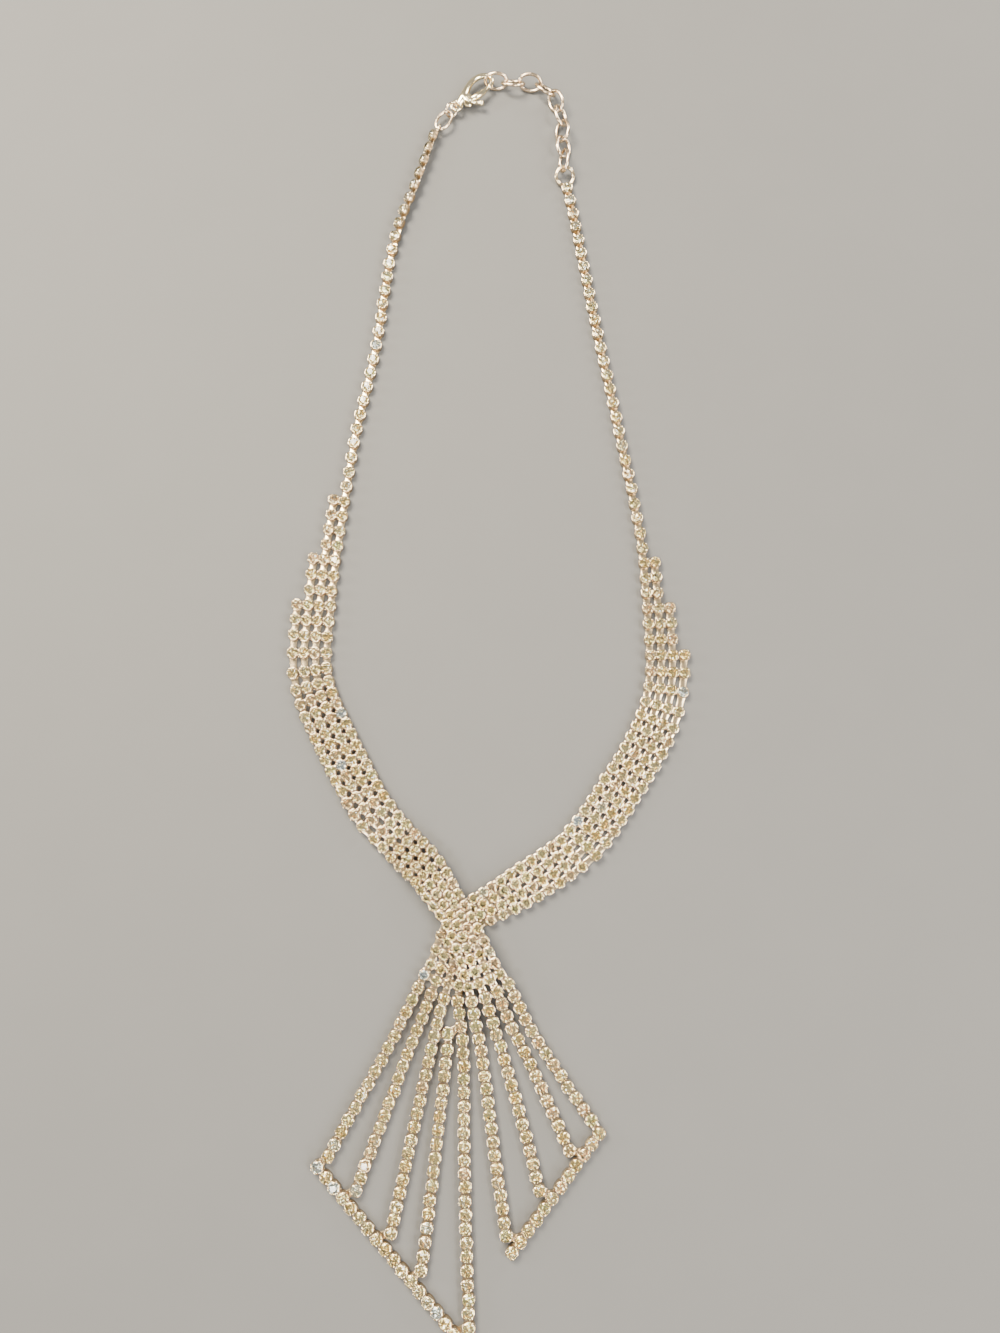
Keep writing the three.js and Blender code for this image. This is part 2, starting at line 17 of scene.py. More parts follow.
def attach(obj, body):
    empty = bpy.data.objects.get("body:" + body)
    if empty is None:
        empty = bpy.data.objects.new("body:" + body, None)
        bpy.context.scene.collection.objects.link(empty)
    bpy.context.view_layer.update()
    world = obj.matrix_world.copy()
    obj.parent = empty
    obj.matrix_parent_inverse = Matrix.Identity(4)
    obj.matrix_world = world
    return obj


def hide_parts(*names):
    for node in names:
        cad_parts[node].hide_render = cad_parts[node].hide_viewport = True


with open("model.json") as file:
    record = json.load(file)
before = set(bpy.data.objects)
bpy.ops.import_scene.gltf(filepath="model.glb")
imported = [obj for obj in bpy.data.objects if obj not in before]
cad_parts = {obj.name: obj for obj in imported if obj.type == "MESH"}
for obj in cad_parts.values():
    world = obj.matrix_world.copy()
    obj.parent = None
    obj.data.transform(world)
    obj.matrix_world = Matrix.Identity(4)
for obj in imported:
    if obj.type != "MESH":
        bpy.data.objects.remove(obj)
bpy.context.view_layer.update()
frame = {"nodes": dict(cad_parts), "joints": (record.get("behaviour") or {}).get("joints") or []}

MM = 0.001

# Sizes, in millimetres

CUP = {
    "half": 1.12,  # across the flats, halved
    "squareness": 3.0,  # power of the rounded square seen from above
    "rim": 1.12,  # top of the wall
    "wall": 0.13,
    "floor": 0.2,  # inside bottom
    "segments": 24,
}
CLAW = {
    "thickness": 0.13,
    "path": [(1.17, 0.62), (1.21, 0.98), (1.19, 1.22), (1.1, 1.39), (0.96, 1.49), (0.81, 1.56)],
    "width": [0.62, 0.6, 0.56, 0.5, 0.4, 0.24],
    # Section, as shares of half the width and of the thickness
    "section": [(-1, -0.75), (-1, -0.2), (-0.5, 0.15), (0.5, 0.15), (1, -0.2), (1, -0.75)],
    "steps": 8,
}
STONE = {
    "girdle": 1.01,  # radius
    "girdle_low": 1.1,
    "girdle_high": 1.17,
    "table": 0.57,  # radius of the table's corners
    "table_height": 1.7,
    "star": 0.8,  # radius of the corners between two star facets
    "culet": 0.29,
    "pavilion": 0.46,  # radius of the corners half way down the back
}
CHAIN_TABLE = 1.196  # side of a stone's table in the single chains of the model
CUP_HEIGHT = 1.75  # from a cup's foot to the table, in the model
FIELD_SHARE = 0.46  # side of a table in the bands, as a share of its cell
LEVEL = 0.93  # upward part of the normal of a table in the bands, at least
TABLE_SLACK = 0.03  # by which a side of a chain's table may differ from CHAIN_TABLE
FLAT = 5.0  # degrees between two triangles of one table, at most
STRIP = {
    "width": 1.5,
    "waist": 0.84,  # width of the middle, as a share of the width at the cups
    "thickness": 0.24,
    "foot": 0.12,
    "bevel": 0.7,  # where the rounding of its edges starts, as a share of width and thickness
    "inset": 0.7,  # share of a cup's half that it leaves free at each end
    "reach": 4.4,  # longest strip within a piece
    "joint_reach": 4.2,  # longest strip from one piece to the next
    "straight": 0.9,  # cosine of the angle between a strip and the sides of its stone, at least
}
GATHER = {
    "start": 0.92,  # pitch of the strands at which they start to slip, as a share of a cup
    "span": 0.55,  # fall of the pitch over which they slip all the way
    "lift": 0.08,
    "level": 0.45,  # stones of one row lie this close along the strands, as a share of a cell
    "apart": 0.4,  # and at least this far across them
}
ROOM = {"share": 0.985, "least": 0.84}  # of its room that a cup fills, and its least scale
WOBBLE = 2.4  # degrees that a stone leans, as a standard deviation
TARNISH_AND_SHADE_HEIGHT = {"strip": 0.62, "wire": 0.9, "solder": 0.6}  # height in a cup at which the metal gets as much tarnish and painted shade
END_RING = {"radius": 1.85, "wire": 0.72, "tilt": 22}
CHAIN_LOOP = {"radius": 0.9, "wire": 0.5, "tilt": 0}
MODEL_WIRE_SIDES = 5
WIRE = {"around": 56, "sides": 14, "seam": 0.05, "solder": 0.55}  # solder is a share of the wire
DOME = {"rings": 6, "tip": 0.35}  # rounding of a bar's ends; tip is the share of a ring left flat
CLASP = {
    "heading": 44,
    "pivot": (2.75, -0.8),
    "eye_radius": 1.05,
    "eye_wire": 0.7,
    "cheek_radius": 1.0,
    "cheek_height": 2.2,
    "cheek_edge": 0.3,
    "slot": 1.12,  # room for the lever between the cheeks
    "slot_radius": 1.12,
    "rivet": 0.42,
    "rivet_head": 0.08,  # by which it stands out of each cheek
    "rivet_edge": 0.07,
    "rivet_gap": 0.04,  # between the rivet and the lever's hole
    "lever_disc": 0.78,
    "lever_thickness": 0.8,
    "lever_edge": 0.12,
    "tab_ball": 0.6,
    "voxel": 0.065,
    "smoothing": (0.5, 5),  # strength and rounds
}
# Along, across and radius of the metal, from the eye for the hook and from the pin for the lever
HOOK = [
    (0.95, 0.0, 0.7), (2.4, 0.35, 1.0), (4.2, 1.25, 0.8), (6.2, 1.9, 0.64), (8.2, 1.8, 0.6),
    (9.6, 0.95, 0.57), (9.95, -0.3, 0.55), (9.3, -1.2, 0.52), (8.35, -1.55, 0.45),
]
LEVER_ARM = [(0.3, -0.05, 0.42), (1.9, -0.6, 0.72), (3.4, -0.8, 0.64), (4.85, -0.7, 0.4)]
LEVER_TAB = [(0.2, -0.3, 0.4), (0.75, -1.5, 0.36), (1.6, -2.4, 0.34)]

CAMERA = {"target": (2.28, -5.1), "distance": 195.1, "tilt": 10.1, "roll": 0.37, "focal_px": 1000}
IMAGE_HEIGHT = 1333
SENSOR = 36.0
FLOOR_REACH = 3.0  # from the middle to an edge, in metres
FLOOR_GAP = 0.00002  # below the cups, in metres, so that no face of theirs lies in it

chance = np.random.default_rng(7)


# Mesh building


class Metalwork:
    """Vertices and faces of one piece, gathered in millimetres."""

    def __init__(self):
        self.points = []
        self.faces = []
        self.slots = []
        self.heights = []
        self.tints = []
        self.count = 0

    def add(self, points, faces, slot=0, height=1.0, tint=0.5):
        points = np.asarray(points, float)
        self.points.append(points)
        self.faces += [[i + self.count for i in face] for face in faces]
        slots = slot if isinstance(slot, list) else [slot] * len(faces)
        self.slots += slots
        self.heights.append(np.broadcast_to(height, len(points)))
        self.tints.append(np.full(len(points), tint))
        self.count += len(points)

    def piece(self, name, materials, sharp=35.0):
        mesh = bpy.data.meshes.new(name)
        mesh.from_pydata(np.concatenate(self.points) * MM, [], self.faces)
        for label, values in (("cup_height", self.heights), ("tint", self.tints)):
            layer = mesh.attributes.new(label, "FLOAT", "POINT")
            layer.data.foreach_set("value", np.concatenate(values).astype(np.float32))
        for material in materials:
            mesh.materials.append(material)
        mesh.polygons.foreach_set("material_index", self.slots)
        mesh.polygons.foreach_set("use_smooth", [True] * len(self.faces))
        mesh.set_sharp_from_angle(angle=math.radians(sharp))
        obj = bpy.data.objects.new(name, mesh)
        bpy.context.scene.collection.objects.link(obj)
        return obj


def grid_faces(rings, ring_size):
    """Quads between rings of points laid one after the other."""
    faces = []
    for i in range(rings - 1):
        a, b = i * ring_size, (i + 1) * ring_size
        for j in range(ring_size):
            k = (j + 1) % ring_size
            faces.append([a + j, a + k, b + k, b + j])
    return faces


def end_caps(rings, ring_size):
    last = (rings - 1) * ring_size
    return [list(range(ring_size))[::-1], [last + j for j in range(ring_size)]]


def smooth_rows(rows, steps):
    """Rows of numbers along a smooth curve through the given rows."""
    rows = np.asarray(rows, float)
    padded = np.vstack([2 * rows[0] - rows[1], rows, 2 * rows[-1] - rows[-2]])
    out = []
    for share in np.linspace(0, len(rows) - 1, steps):
        i = min(int(share), len(rows) - 2)
        t = share - i
        a, b, c, d = padded[i : i + 4]
        square = (2 * a - 5 * b + 4 * c - d) * t**2
        cube = (3 * b - a - 3 * c + d) * t**3
        out.append(0.5 * (2 * b + (c - a) * t + square + cube))
    return np.array(out)


def bar(rows, steps, sides=20):
    """Round-ended bar through rows of along, across and radius, in the XY plane."""
    table = smooth_rows(rows, steps)
    centres = np.column_stack([table[:, :2], np.zeros(steps)])
    radii = table[:, 2]
    along = np.gradient(centres, axis=0)
    along /= np.linalg.norm(along, axis=1)[:, None]
    turn = np.linspace(0, 2 * np.pi, sides, endpoint=False)

    def ring(centre, direction, radius):
        across = np.cross([0, 0, 1.0], direction)
        return centre + radius * (np.outer(np.cos(turn), across) + np.outer(np.sin(turn), [0, 0, 1.0]))

    def dome(end, outward):
        """Rings of the half ball on an end, from its tip to the bar."""
        rings = []
        for i in range(DOME["rings"]):
            angle = np.pi / 2 * (i + DOME["tip"]) / DOME["rings"]
            centre = centres[end] + outward * along[end] * radii[end] * math.cos(angle)
            rings.append(ring(centre, along[end], radii[end] * math.sin(angle)))
        return rings

    body = [ring(centre, direction, radius) for centre, direction, radius in zip(centres, along, radii)]
    rings = dome(0, -1) + body + dome(-1, 1)[::-1]
    return np.concatenate(rings), grid_faces(len(rings), sides) + end_caps(len(rings), sides)


def lathe(profile, segments=40):
    """Solid turned about Z from (radius, height) rows that run from the bottom to the top."""
    turn = np.linspace(0, 2 * np.pi, segments, endpoint=False)
    circle = np.column_stack([np.cos(turn), np.sin(turn), np.zeros(segments)])
    rings = [circle * radius + np.array([0, 0, z]) for radius, z in profile]
    return np.concatenate(rings), grid_faces(len(rings), segments) + end_caps(len(rings), segments)


def rounded_disc(radius, height, edge):
    """Profile of a disc with rounded edges, centred on z = 0."""
    inner, level = radius - edge, height / 2 - edge
    upper = [(inner + edge * math.sin(t), level + edge * math.cos(t)) for t in np.linspace(np.pi / 2, 0, 6)]
    return [(r, -z) for r, z in reversed(upper)] + upper


def ball(radius, segments=24, rings=14):
    pole = 0.08  # radians left open round each pole, closed by the end caps
    angles = np.linspace(pole, np.pi - pole, rings)
    return lathe([(radius * math.sin(a), -radius * math.cos(a)) for a in angles], segments)


# Settings and stones, about one stone's own foot


def rounded_square(angle):
    power = CUP["squareness"]
    return (abs(math.cos(angle)) ** power + abs(math.sin(angle)) ** power) ** (-1 / power)


def cup_shape():
    half, rim, wall = CUP["half"], CUP["rim"], CUP["wall"]
    profile = [
        (0.8 * half, 0.0), (0.93 * half, 0.04), (0.985 * half, 0.16), (half, 0.4), (half, rim - 0.06),
        (half - 0.02, rim - 0.015), (half - wall / 2, rim), (half - wall, rim - 0.02),
        (half - wall - 0.01, rim - 0.12), (half - wall - 0.1, 0.62), (0.5 * half, CUP["floor"]),
    ]
    turn = np.linspace(0, 2 * np.pi, CUP["segments"], endpoint=False)
    reach = np.array([rounded_square(a) for a in turn])
    outline = np.column_stack([reach * np.cos(turn), reach * np.sin(turn), np.zeros(len(turn))])
    points = np.concatenate([outline * radius + np.array([0, 0, z]) for radius, z in profile])
    return points, grid_faces(len(profile), len(turn)) + end_caps(len(profile), len(turn))


def claw_shape(angle):
    """One claw, from the wall at a corner of the cup over the edge of the stone."""
    path = smooth_rows(np.column_stack([CLAW["path"], CLAW["width"]]), CLAW["steps"])
    out = np.array([math.cos(angle), math.sin(angle), 0])
    side = np.array([-math.sin(angle), math.cos(angle), 0])
    up = np.array([0, 0, 1.0])
    slope = np.gradient(path[:, :2], axis=0)
    slope /= np.linalg.norm(slope, axis=1)[:, None]
    points = []
    for (r, z, width), (dr, dz) in zip(path, slope):
        outward = dz * out - dr * up
        for sideways, depth in CLAW["section"]:
            shift = sideways * width / 2 * side + depth * CLAW["thickness"] * outward
            points.append(r * out + z * up + shift)
    size = len(CLAW["section"])
    faces = grid_faces(len(path), size) + end_caps(len(path), size)
    return np.array(points), [face[::-1] for face in faces]


def setting_shape():
    """Cup and four claws as one list of points and faces."""
    points, faces = cup_shape()
    for k in range(4):
        more, claw_faces = claw_shape(math.radians(45 + 90 * k))
        faces = faces + [[i + len(points) for i in face] for face in claw_faces]
        points = np.concatenate([points, more])
    return points, faces


def stone_shape():
    """Round brilliant with a table, 32 crown facets and a foiled back of 24 facets."""
    s = STONE
    eighth = math.pi / 4

    def around(radius, z, offset, count):
        angles = (np.arange(count) + offset) * (2 * np.pi / count)
        return np.column_stack([radius * np.cos(angles), radius * np.sin(angles), np.full(count, z)])

    fall = (s["table_height"] - s["girdle_high"]) / (s["girdle"] - s["table"])
    star_z = s["table_height"] - fall * (s["star"] * math.cos(eighth / 2) - s["table"])
    rise = (s["girdle_low"] - s["culet"]) / s["girdle"]
    pavilion_z = s["culet"] + rise * s["pavilion"] * math.cos(eighth / 2)
    table = around(s["table"], s["table_height"], 0, 8)
    star = around(s["star"], star_z, 0.5, 8)
    upper = around(s["girdle"], s["girdle_high"], 0, 16)
    lower = around(s["girdle"], s["girdle_low"], 0, 16)
    back = around(s["pavilion"], pavilion_z, 0.5, 8)
    points = np.concatenate([table, star, upper, lower, back, [[0, 0, s["culet"]]]])
    t, a, u, g, b, culet = 0, 8, 16, 32, 48, 56
    crown = [list(range(8))]
    foil = []
    for k in range(8):
        n, p = (k + 1) % 8, (k - 1) % 8
        corner, middle, following = 2 * k, 2 * k + 1, (2 * k + 2) % 16
        crown.append([t + k, a + k, t + n])
        crown.append([t + k, a + p, u + corner, a + k])
        crown.append([a + k, u + corner, u + middle])
        crown.append([a + k, u + middle, u + following])
        foil.append([culet, b + k, g + corner, b + p])
        foil.append([b + k, g + middle, g + corner])
        foil.append([b + k, g + following, g + middle])
    for i in range(16):
        n = (i + 1) % 16
        crown.append([u + i, g + i, g + n, u + n])
    return points, crown + foil, [0] * len(crown) + [1] * len(foil)


SETTING_POINTS, SETTING_FACES = setting_shape()
STONE_POINTS, STONE_FACES, STONE_SLOTS = stone_shape()


# Places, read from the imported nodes


class Place:
    """One stone of the model: its foot, directions and size, in millimetres."""

    def __init__(self, centre, along, up, cell):
        self.up = up.normalized()
        self.along = (along - self.up * along.dot(self.up)).normalized()
        self.across = self.up.cross(self.along)
        self.foot = centre - self.up * CUP_HEIGHT
        self.cell = cell  # narrow and wide side of the room that the stone has

    def moved(self, points, scale=(1.0, 1.0, 1.0)):
        basis = np.array([self.along, self.across, self.up])
        return np.asarray(self.foot) + (points * scale) @ basis


def stone_places(node, single):
    """The flat table of each stone in a node. single says that it is a chain of one strand."""
    shape = bmesh.new()
    shape.from_mesh(frame["nodes"][node].data)
    bmesh.ops.remove_doubles(shape, verts=shape.verts, dist=1e-6)
    bmesh.ops.dissolve_limit(shape, angle_limit=math.radians(FLAT), verts=shape.verts, edges=shape.edges)
    places = []
    for face in shape.faces:
        if len(face.verts) != 4:
            continue
        sides = [edge.calc_length() / MM for edge in face.edges]
        square = max(abs(side - CHAIN_TABLE) for side in sides) < TABLE_SLACK
        if not (square if single else face.normal.z > LEVEL):
            continue
        a, b, c, d = [vertex.co / MM for vertex in face.verts]
        first, second = (b + c - a - d) / 2, (d + c - a - b) / 2
        short, long = sorted([first, second], key=lambda side: side.length)
        share = CHAIN_TABLE / (2 * CUP["half"]) if single else FIELD_SHARE
        cell = (short.length / share, long.length / share)
        places.append(Place((a + b + c + d) / 4, long, face.normal, cell))
    shape.free()
    return places


def nearest(place, others):
    """The closest of the other stones, or None where there is no other."""
    rest = [other for other in others if other is not place]
    return min(rest, key=lambda other: (other.foot - place.foot).length, default=None)


def turn_along(places):
    """In a single chain, along is the side of the table that points to the next stone."""
    for place in places:
        neighbour = nearest(place, places)
        if neighbour is None:
            continue
        reach = neighbour.foot - place.foot
        if abs(reach.dot(place.across)) > abs(reach.dot(place.along)):
            place.along, place.across = place.across, -place.along
    return places


def strips_between(places, single):
    """Pairs of places that a strip under the cups joins."""
    pairs = []
    for place in places:
        sides = [place.along] if single else [place.along, place.across]
        for direction in [sign * side for side in sides for sign in (1, -1)]:
            in_line = []
            for other in places:
                reach = other.foot - place.foot
                near = 0 < reach.length <= STRIP["reach"]
                if near and reach.dot(direction) >= STRIP["straight"] * reach.length:
                    in_line.append(other)
            following = nearest(place, in_line)
            if following and (following, place) not in pairs and (place, following) not in pairs:
                pairs.append((place, following))
    return pairs


def joining_pairs(places, others):
    """Stones of two nodes that are each other's nearest, for the strips across a joint."""
    pairs = [(place, nearest(place, others)) for place in places]
    mutual = [(a, b) for a, b in pairs if nearest(b, places) is a]
    return [(a, b) for a, b in mutual if (a.foot - b.foot).length < STRIP["joint_reach"]]


def strip_shape(a, b):
    """Flat strip from under one cup to under the next."""
    up = (a.up + b.up).normalized()
    start, end = a.foot + a.up * STRIP["foot"], b.foot + b.up * STRIP["foot"]
    along = (end - start).normalized()
    side = up.cross(along).normalized()
    inset = CUP["half"] * STRIP["inset"]
    start, end = start + along * inset, end - along * inset
    bevel = STRIP["bevel"]
    section = [(-1, 0), (-1, bevel), (-bevel, 1), (bevel, 1), (1, bevel), (1, 0)]
    shares = (0, 0.25, 0.5, 0.75, 1)
    points = []
    for share in shares:
        centre = start.lerp(end, share)
        half = STRIP["width"] / 2 * (1 - (1 - STRIP["waist"]) * math.sin(math.pi * share))
        points += [centre + side * half * x + up * STRIP["thickness"] * z for x, z in section]
    size = len(section)
    faces = grid_faces(len(shares), size) + end_caps(len(shares), size)
    return np.array([list(point) for point in points]), [face[::-1] for face in faces]


def wire_ring(along_radius, across_radius, wire, seam_at=0.25):
    """Closed wire, bent from one length, with a fine seam where its ends meet."""
    gap = WIRE["seam"] / (along_radius + across_radius)
    turn = np.linspace(gap, 2 * np.pi - gap, WIRE["around"]) + 2 * np.pi * seam_at
    sides = np.linspace(0, 2 * np.pi, WIRE["sides"], endpoint=False)
    rings = []
    for t in turn:
        centre = np.array([along_radius * math.cos(t), across_radius * math.sin(t), 0])
        out = np.array([across_radius * math.cos(t), along_radius * math.sin(t), 0])
        out /= np.linalg.norm(out)
        section = np.outer(np.cos(sides), out) + np.outer(np.sin(sides), [0, 0, 1.0])
        rings.append(centre + wire / 2 * section)
    faces = grid_faces(len(rings), len(sides)) + end_caps(len(rings), len(sides))
    return np.concatenate(rings), [face[::-1] for face in faces]


# Shader groups


def new_group(name, inputs, outputs):
    """Node group with named inputs, given as (name, kind, default), and outputs."""
    group = bpy.data.node_groups.new(name, "ShaderNodeTree")
    for label, kind, value in inputs:
        socket = group.interface.new_socket(name=label, in_out="INPUT", socket_type=kind)
        socket.default_value = value
    for label, kind in outputs:
        group.interface.new_socket(name=label, in_out="OUTPUT", socket_type=kind)
    return group, Wiring(group.nodes, group.links)


class Wiring:
    """Short calls to place nodes and join them."""

    def __init__(self, nodes, links):
        self.nodes, self.links = nodes, links

    def node(self, kind, values=None, **settings):
        node = self.nodes.new(kind)
        for key, value in settings.items():
            setattr(node, key, value)
        for socket, value in (values or {}).items():
            if isinstance(value, bpy.types.NodeSocket):
                self.links.new(value, node.inputs[socket])
            else:
                node.inputs[socket].default_value = value
        return node

    def math(self, operation, a, b, clamp=False):
        return self.node("ShaderNodeMath", {0: a, 1: b}, operation=operation, use_clamp=clamp).outputs[0]

    def mix(self, factor, a, b):
        node = self.node("ShaderNodeMix", data_type="RGBA")
        for index, value in ((0, factor), (6, a), (7, b)):
            if isinstance(value, bpy.types.NodeSocket):
                self.links.new(value, node.inputs[index])
            else:
                node.inputs[index].default_value = value
        return node.outputs[2]

    def remap(self, value, low, high, to_low=0.0, to_high=1.0):
        values = {0: value, 1: low, 2: high, 3: to_low, 4: to_high}
        return self.node("ShaderNodeMapRange", values, interpolation_type="SMOOTHSTEP").outputs[0]

    def ramp(self, value, stops):
        node = self.node("ShaderNodeValToRGB", {"Fac": value})
        elements = node.color_ramp.elements
        for place, color in stops[1:-1]:
            elements.new(place).color = (*color, 1)
        elements[0].color, elements[-1].color = (*stops[0][1], 1), (*stops[-1][1], 1)
        return node.outputs["Color"]

    def attribute(self, name):
        return self.node("ShaderNodeAttribute", attribute_name=name).outputs["Fac"]

    def noise(self, scale, detail=4.0):
        place = self.node("ShaderNodeTexCoord").outputs["Object"]
        values = {"Vector": place, "Scale": scale, "Detail": detail, "Roughness": 0.6}
        return self.node("ShaderNodeTexNoise", values).outputs["Fac"]


def tarnish_and_shade_group():
    """Grey-brown darkening: tarnish and painted shade low in the settings, and tarnish in patches of the
    plate.
    """
    group, wires = new_group(
        "plate_tarnish_and_shade",
        [
            ("Clean", "NodeSocketColor", (0.85, 0.8, 0.7, 1)),
            ("Tarnished And Shaded", "NodeSocketColor", (0.2, 0.15, 0.1, 1)),
            ("Height", "NodeSocketFloat", 1.0),
            ("Patch Scale", "NodeSocketFloat", 900.0),
            ("Patches", "NodeSocketFloat", 0.3),
            ("Roughness", "NodeSocketFloat", 0.2),
        ],
        [("Color", "NodeSocketColor"), ("Roughness", "NodeSocketFloat")],
    )
    given = wires.node("NodeGroupInput")
    # Painted shade, with tarnish: the metal darkens towards the bottom of a cup, where shade falls between
    # the cups.
    low = wires.remap(given.outputs["Height"], 0.75, 0.2)
    cloud = wires.remap(wires.noise(given.outputs["Patch Scale"]), 0.45, 0.75)
    patches = wires.math("MULTIPLY", cloud, given.outputs["Patches"])
    amount = wires.math("MAXIMUM", wires.math("MULTIPLY", low, 0.85), patches, clamp=True)
    color = wires.mix(amount, given.outputs["Clean"], given.outputs["Tarnished And Shaded"])
    rough = wires.math("ADD", given.outputs["Roughness"], wires.math("MULTIPLY", amount, 0.25))
    result = wires.node("NodeGroupOutput")
    wires.links.new(color, result.inputs["Color"])
    wires.links.new(rough, result.inputs["Roughness"])
    return group


def wear_group():
    """Fine hairlines and dents of handled, polished metal, as a normal."""
    group, wires = new_group(
        "handling_wear",
        [("Scale", "NodeSocketFloat", 2500.0), ("Strength", "NodeSocketFloat", 0.15)],
        [("Normal", "NodeSocketVector")],
    )
    given = wires.node("NodeGroupInput")
    place = wires.node("ShaderNodeTexCoord").outputs["Object"]
    slant = {"Vector": place, "Scale": (1.0, 0.12, 1.0), "Rotation": (0, 0, 0.9)}
    stretched = wires.node("ShaderNodeMapping", slant).outputs[0]
    fine = {"Vector": stretched, "Scale": given.outputs["Scale"], "Detail": 6.0}
    lines = wires.node("ShaderNodeTexNoise", fine).outputs["Fac"]
    dents = wires.noise(wires.math("MULTIPLY", given.outputs["Scale"], 0.35), 2.0)
    height = wires.math("ADD", wires.math("MULTIPLY", lines, 0.6), wires.math("MULTIPLY", dents, 0.4))
    depth = {"Strength": given.outputs["Strength"], "Distance": 0.00005, "Height": height}
    normal = wires.node("ShaderNodeBump", depth).outputs["Normal"]
    result = wires.node("NodeGroupOutput")
    wires.links.new(normal, result.inputs["Normal"])
    return group


TARNISH_AND_SHADE = tarnish_and_shade_group()
WEAR = wear_group()


def new_material(name):
    material = bpy.data.materials.new(name)
    material.use_nodes = True
    tree = material.node_tree
    shader = tree.nodes["Principled BSDF"]
    return material, shader, Wiring(tree.nodes, tree.links)


def plated(name, clean, tarnished_and_shaded, roughness, patches, wear):
    """Silver plate, with tarnish and painted shade low in the setting, and fine handling wear."""
    material, shader, wires = new_material(name)
    finish = wires.node("ShaderNodeGroup", node_tree=TARNISH_AND_SHADE)
    finish.inputs["Clean"].default_value = (*clean, 1)
    finish.inputs["Tarnished And Shaded"].default_value = (*tarnished_and_shaded, 1)
    finish.inputs["Roughness"].default_value = roughness
    finish.inputs["Patches"].default_value = patches
    wires.links.new(wires.attribute("cup_height"), finish.inputs["Height"])
    scratches = wires.node("ShaderNodeGroup", node_tree=WEAR)
    scratches.inputs["Strength"].default_value = wear
    shader.inputs["Metallic"].default_value = 1.0
    wires.links.new(finish.outputs["Color"], shader.inputs["Base Color"])
    wires.links.new(finish.outputs["Roughness"], shader.inputs["Roughness"])
    wires.links.new(scratches.outputs["Normal"], shader.inputs["Normal"])
    return material


def crown_glass():
    """Clear glass of the stones, faintly smudged."""
    material, shader, wires = new_material("clear_crown_glass")
    shader.inputs["Base Color"].default_value = (1.0, 0.99, 0.96, 1)
    shader.inputs["Transmission Weight"].default_value = 1.0
    shader.inputs["IOR"].default_value = 1.56
    smudge = wires.remap(wires.noise(700.0), 0.5, 0.8, 0.0, 0.07)
    wires.links.new(smudge, shader.inputs["Roughness"])
    return material


def foil_back():
    """Silver foil behind the stones: mostly cream, some rosy, some greenish, a few cold and clear."""
    material, shader, wires = new_material("foil_backing")
    shades = wires.ramp(
        wires.attribute("tint"),
        [
            (0.0, (1.0, 0.88, 0.54)), (0.3, (1.0, 0.91, 0.61)), (0.55, (1.0, 0.94, 0.68)),
            (0.7, (1.0, 0.85, 0.63)), (0.84, (0.98, 0.95, 0.63)), (0.95, (1.0, 0.92, 0.66)),
            (1.0, (0.88, 0.96, 1.0)),
        ],
    )
    age = wires.remap(wires.noise(1500.0), 0.5, 0.8)
    color = wires.mix(wires.math("MULTIPLY", age, 0.3), shades, (0.55, 0.44, 0.3, 1))
    shader.inputs["Metallic"].default_value = 1.0
    wires.links.new(color, shader.inputs["Base Color"])
    wires.links.new(wires.remap(age, 0.0, 1.0, 0.05, 0.22), shader.inputs["Roughness"])
    return material


# Colours: clean plate, then tarnish and painted shade, which is dark low in a setting.
SETTING_SILVER = plated("setting_silver", (0.66, 0.53, 0.34), (0.2, 0.12, 0.055), 0.2, 0.35, 0.15)
CHAIN_SILVER = plated("extender_silver", (0.62, 0.49, 0.34), (0.2, 0.12, 0.065), 0.2, 0.8, 0.25)
CLASP_SILVER = plated("clasp_silver", (0.86, 0.75, 0.5), (0.34, 0.23, 0.11), 0.14, 0.45, 0.3)
GLASS = crown_glass()
FOIL = foil_back()


# Pieces


def gathered_strand(place, places):
    """Which strand of a gathered band a stone is in, counted from the side that across points to."""
    across = place.across if place.across.x > 0 else -place.across
    narrow, wide = place.cell
    count = 0
    for other in places:
        reach = other.foot - place.foot
        level = abs(reach.dot(place.along)) < GATHER["level"] * wide
        if level and reach.dot(across) > GATHER["apart"] * narrow:
            count += 1
    return count


def settle(places):
    """Where a band is gathered, every second strand slips half a stone on and rides up."""
    start = 2 * CUP["half"] * GATHER["start"]
    moves = []
    for place in places:
        narrow, wide = place.cell
        gather = min(1.0, max(0.0, (start - narrow) / GATHER["span"]))
        odd = gathered_strand(place, places) % 2 if gather > 0 else 0
        along = place.along if place.along.y > 0 else -place.along
        slip = along * wide / 2 + place.up * GATHER["lift"]
        moves.append(slip * gather * odd)
    for place, move in zip(places, moves):
        place.foot = place.foot + move
    return places


def cup_scale(place, single):
    """Share of the full size at which a stone fits into its room."""
    if single:
        return 1.0
    room = ROOM["share"] * min(place.cell) / (2 * CUP["half"])
    return min(1.0, max(ROOM["least"], room))


def nudge(place):
    """Each stone sits a little off true, as set by a machine and handled since."""
    lean = Matrix.Rotation(math.radians(chance.normal(0, WOBBLE)), 3, place.along)
    pitch = Matrix.Rotation(math.radians(chance.normal(0, WOBBLE)), 3, place.across)
    turn = lean @ pitch
    return Place(place.foot + turn @ place.up * CUP_HEIGHT, turn @ place.along, turn @ place.up, place.cell)


def rest_on_table(place, size):
    """Lift a stone whose cup would reach below the table."""
    lowest = place.moved(SETTING_POINTS, size)[:, 2].min()
    place.foot = place.foot + Vector((0, 0, max(0.0, -lowest)))


